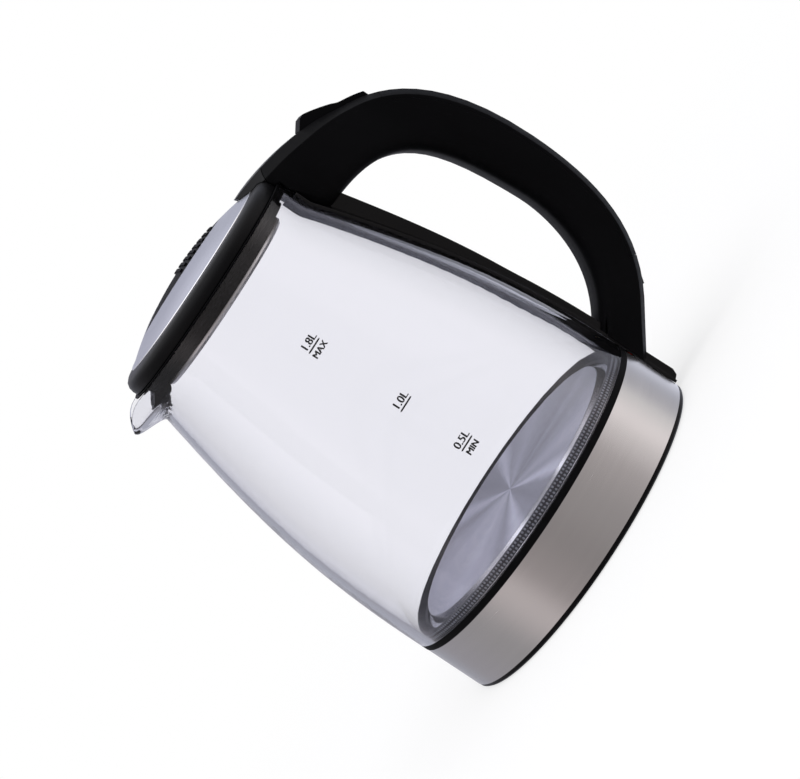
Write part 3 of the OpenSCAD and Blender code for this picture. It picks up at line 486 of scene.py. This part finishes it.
def line_mesh(name):
    """A printed bar with narrowed ends, in short steps so that it bends with the glass."""
    top, low = [], []
    for i in range(LINE_STEPS + 1):
        x = (i / LINE_STEPS - 0.5) * LINE_LENGTH
        half = LINE_WIDTH / 2 * (LINE_END_SHARE if i in (0, LINE_STEPS) else 1.0)
        top.append((x, half))
        low.append((x, -half))
    points = [(x, y, out) for out in (0.0, INK_DEPTH) for x, y in top + low]
    # the rows of points are back top, back low, front top and front low
    n = LINE_STEPS + 1
    faces = []
    for i in range(LINE_STEPS):
        faces.append((2 * n + i, 2 * n + i + 1, 3 * n + i + 1, 3 * n + i))
        faces.append((i, n + i, n + i + 1, i + 1))
        faces.append((i, i + 1, 2 * n + i + 1, 2 * n + i))
        faces.append((n + i, 3 * n + i, 3 * n + i + 1, n + i + 1))
    faces.append((0, 2 * n, 3 * n, n))
    faces.append((n - 1, 2 * n - 1, 4 * n - 1, 3 * n - 1))
    return new_mesh(name, points, faces)


def text_mesh(name, words, height, weight):
    """Printed letters, made bold by three strikes side by side."""
    curve = bpy.data.curves.new(name, "FONT")
    curve.body = words
    curve.size = height / CAPITAL_SHARE
    curve.align_x = "CENTER"
    curve.align_y = "BOTTOM_BASELINE"
    curve.extrude = INK_DEPTH / 2
    curve.resolution_u = 4
    maker = bpy.data.objects.new(name, curve)
    scene.collection.objects.link(maker)
    bpy.context.view_layer.update()
    thin = bpy.data.meshes.new_from_object(maker.evaluated_get(bpy.context.evaluated_depsgraph_get()))
    bpy.data.objects.remove(maker)
    points, faces = [], []
    for step in (-1, 0, 1):
        first = len(points)
        shift = Vector((step * weight, 0, INK_DEPTH / 2 + step * STRIKE_RISE))
        points += [v.co + shift for v in thin.vertices]
        faces += [tuple(first + k for k in f.vertices) for f in thin.polygons]
    return new_mesh(name, points, faces)


for name, z, above, below in LEVELS:
    mark("level_line_" + name, line_mesh(name), MARK_X, z)
    number = text_mesh(name, above, NUMBER_HEIGHT, NUMBER_WEIGHT)
    mark("level_number_" + name, number, MARK_X, z + NUMBER_RISE)
    if below:
        word = text_mesh(name, below, WORD_HEIGHT, WORD_WEIGHT)
        mark("level_word_" + name, word, MARK_X, z - WORD_DROP - WORD_HEIGHT)


# ---------------------------------------------------------------- ribbed ring of the jug's seal
RIBS = 270
RIB_SIDES = 8
# each row's bottom and top below the seal's top, and half of a rib's width
RIB_ROWS = ((0.0014, 0.0002, 0.00055), (0.0034, 0.0020, 0.0005))
# each rib's three outlines: how far out of the seal, and their share of its size
RIB_OUTLINES = ((-0.0004, 1.0), (0.00012, 0.95), (0.00022, 0.55))


def seal_ribs():
    """Two rows of small moulded ribs round the seal between the heating plate and the glass."""
    reach, high = reach_and_top(node["plate_seal"].data)
    turns = [2 * math.pi * i / RIB_SIDES for i in range(RIB_SIDES)]
    points, faces = [], []
    for low, top, half_width in RIB_ROWS:
        middle = high - (low + top) / 2
        half_height = (low - top) / 2
        for k in range(RIBS):
            a = 2 * math.pi * (k + 0.5) / RIBS
            out = Vector((math.cos(a), math.sin(a), 0))
            side = Vector((-math.sin(a), math.cos(a), 0))
            start = len(points)
            for depth, share in RIB_OUTLINES:
                for q in turns:
                    rise = Vector((0, 0, middle + half_height * share * math.sin(q)))
                    points.append((reach + depth) * out + half_width * share * math.cos(q) * side + rise)
            for ring in (start, start + RIB_SIDES):
                for i in range(RIB_SIDES):
                    j = (i + 1) % RIB_SIDES
                    faces.append((ring + i, ring + j, ring + RIB_SIDES + j, ring + RIB_SIDES + i))
            faces.append(tuple(start + 2 * RIB_SIDES + i for i in range(RIB_SIDES)))
            faces.append(tuple(start + RIB_SIDES - 1 - i for i in range(RIB_SIDES)))
    obj = new_piece("seal_ribs", new_mesh("seal_ribs", points, faces),
                    silicone("rib_silicone", (0.3, 0.31, 0.36)))
    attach(obj, "jug")


seal_ribs()

# ---------------------------------------------------------------- rolled lip round the lid's steel dome
LIP_AROUND = 160
LIP_SECTION = 10
LIP_RADIUS = 0.00042
# how far inside and above the dome's edge the lip's middle lies, in lip radii
LIP_INSET = 0.9
LIP_RISE = 0.35
DOME_EDGE = 0.0004


def dome_lip():
    """The polished turned edge of the dome, where the sheet meets the black ring."""
    dome = node["lid_dome"].data
    reach = reach_and_top(dome)[0]
    edge_top = max(v.co.z for v in dome.vertices if v.co.xy.length > reach - DOME_EDGE)
    points, faces = [], []
    for k in range(LIP_AROUND):
        a = 2 * math.pi * k / LIP_AROUND
        for i in range(LIP_SECTION):
            q = 2 * math.pi * i / LIP_SECTION
            r = reach + LIP_RADIUS * (math.cos(q) - LIP_INSET)
            points.append((r * math.cos(a), r * math.sin(a),
                           edge_top + LIP_RADIUS * (math.sin(q) + LIP_RISE)))
    for k in range(LIP_AROUND):
        a, b = k * LIP_SECTION, (k + 1) % LIP_AROUND * LIP_SECTION
        for i in range(LIP_SECTION):
            j = (i + 1) % LIP_SECTION
            faces.append((a + i, b + i, b + j, a + j))
    mesh = new_mesh("dome_lip", points, faces)
    mesh.polygons.foreach_set("use_smooth", [True] * len(faces))
    obj = new_piece("dome_lip", mesh, steel("lip_steel", (0.95, 0.95, 0.98), 0.16, variation=0.03))
    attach(obj, "lid")


dome_lip()

# ---------------------------------------------------------------- world, floor and lamp
# Bearings are measured from the front, -Y, round towards the handle, +X.
# A rise is the z of a direction, from where a thing starts to where it is full.
# What shiny surfaces see round the horizon, by degrees of bearing:
SURROUNDINGS = [(-180, (0.42, 0.42, 0.5)), (-170, (0.58, 0.58, 0.64)), (-160, (0.38, 0.39, 0.45)),
                (-138, (0.34, 0.33, 0.36)), (-92, (0.33, 0.32, 0.33)), (-58, (0.57, 0.52, 0.52)),
                (-38, (0.33, 0.30, 0.30)), (-12, (0.28, 0.26, 0.26)), (18, (0.33, 0.31, 0.31)),
                (48, (0.42, 0.39, 0.39)), (66, (0.66, 0.62, 0.62)), (82, (0.92, 0.86, 0.86)),
                (98, (0.74, 0.72, 0.72)), (114, (0.45, 0.45, 0.49)), (148, (0.43, 0.45, 0.54)),
                (170, (0.52, 0.53, 0.6)), (180, (0.42, 0.42, 0.5))]
OVERHEAD = (1.5, 1.5, 1.55)
OVERHEAD_RISE = (0.35, 0.95)
SCREEN = (0.85, 0.87, 0.98)
SCREEN_BEARINGS = (2.25, 2.75)
SCREEN_RISE = (0.06, -0.06)
FLAG = (0.05, 0.05, 0.06)
FLAG_START = (1.3, 1.9)
FLAG_END = (2.65, 2.3)
LOW_LIGHT = (0.5, 0.5, 0.51)
HIGH_LIGHT = (0.78, 0.78, 0.8)
LIGHT_RISE = (-0.2, 0.6)
FLOOR_RADIUS = 2.4
FLOOR_RINGS = 24
FLOOR_SPOKES = 48
FLOOR_GROWTH = 1.6
FLOOR_DROP = 0.0004
FLOOR_COLOUR = (0.86, 0.86, 0.87)
# from this distance to that one, the floor's share of white goes from one value to the other
FLOOR_FADE = (0.12, 0.6, 0.72, 1.0)


def studio_world():
    """Plain light for matt surfaces, white for the eye and through glass, and a graded
    surrounding for what shines."""
    world = bpy.data.worlds.new("studio")
    scene.world = world
    world.use_nodes = True
    t = Tree(world.node_tree)
    x, y, z = t.parts(t.add("TexCoord").outputs["Generated"])
    rays = t.add("LightPath").outputs
    bearing = t.math("ARCTAN2", x, t.math("MULTIPLY", y, -1.0))
    shiny = t.ramp(t.span(bearing, -math.pi, math.pi), SURROUNDINGS, 180)
    shiny = t.blend(t.span(z, *OVERHEAD_RISE, smooth=True), shiny, OVERHEAD)
    # a low pale screen stands behind the object on the handle's side
    screen = t.math("MULTIPLY", t.span(bearing, *SCREEN_BEARINGS), t.span(z, *SCREEN_RISE))
    shiny = t.blend(screen, shiny, SCREEN)
    # dark flags left and right show only in reflections seen through the glass
    sideways = t.math("ABSOLUTE", bearing)
    flag = t.math("MULTIPLY", t.span(sideways, *FLAG_START), t.span(sideways, *FLAG_END))
    inner = t.math("GREATER_THAN", rays["Transmission Depth"], 0.5)
    shiny = t.blend(t.math("MULTIPLY", flag, inner), shiny, FLAG)
    matt = t.blend(t.span(z, *LIGHT_RISE, smooth=True), LOW_LIGHT, HIGH_LIGHT)
    colour = t.blend(rays["Is Glossy Ray"], matt, shiny)
    unreflected = t.math("LESS_THAN", rays["Glossy Depth"], 0.5)
    colour = t.blend(t.math("MULTIPLY", rays["Is Transmission Ray"], unreflected), colour, WHITE)
    colour = t.blend(rays["Is Camera Ray"], colour, WHITE)
    back = t.add("Background", {"Color": colour, "Strength": 1.0})
    t.add("OutputWorld", {"Surface": back.outputs[0]})


def studio_floor():
    """A round pale floor that keeps the object's shadow and turns white further out."""
    spokes = [2 * math.pi * k / FLOOR_SPOKES for k in range(FLOOR_SPOKES)]
    points = [(0, 0, 0)]
    for i in range(1, FLOOR_RINGS + 1):
        r = FLOOR_RADIUS * (i / FLOOR_RINGS) ** FLOOR_GROWTH
        points += [(r * math.cos(a), r * math.sin(a), 0) for a in spokes]
    faces = [(0, 1 + k, 1 + (k + 1) % FLOOR_SPOKES) for k in range(FLOOR_SPOKES)]
    for i in range(FLOOR_RINGS - 1):
        a, b = 1 + i * FLOOR_SPOKES, 1 + (i + 1) * FLOOR_SPOKES
        for k in range(FLOOR_SPOKES):
            j = (k + 1) % FLOOR_SPOKES
            faces.append((a + k, b + k, b + j, a + j))
    m, t = material("floor")
    away = t.vector("LENGTH", t.place)
    matt = t.add("BsdfDiffuse", {"Color": FLOOR_COLOUR})
    glow = t.add("Emission", {"Color": WHITE, "Strength": 1.0})
    seen = t.add("LightPath").outputs["Is Camera Ray"]
    white_share = t.math("MULTIPLY", seen, t.span(away, *FLOOR_FADE, smooth=True))
    both = t.add("MixShader", {0: white_share, 1: matt.outputs[0], 2: glow.outputs[0]})
    t.add("OutputMaterial", {"Surface": both.outputs[0]})
    floor = new_piece("floor", new_mesh("floor", points, faces), m)
    floor.location.z = -FLOOR_DROP
    floor.visible_glossy = False
    floor.visible_transmission = False


def lamp(name, place, aim, size, power):
    data = bpy.data.lights.new(name, "AREA")
    data.shape = "DISK"
    data.size = size
    data.energy = power
    obj = bpy.data.objects.new(name, data)
    scene.collection.objects.link(obj)
    obj.location = place
    obj.rotation_euler = (Vector(aim) - Vector(place)).to_track_quat("-Z", "Y").to_euler()
    obj.visible_glossy = False
    obj.visible_transmission = False
    obj.visible_camera = False


studio_world()
studio_floor()
lamp("top_light", place=(0.1, -0.3, 1.6), aim=(0, 0, 0.1), size=1.4, power=14)
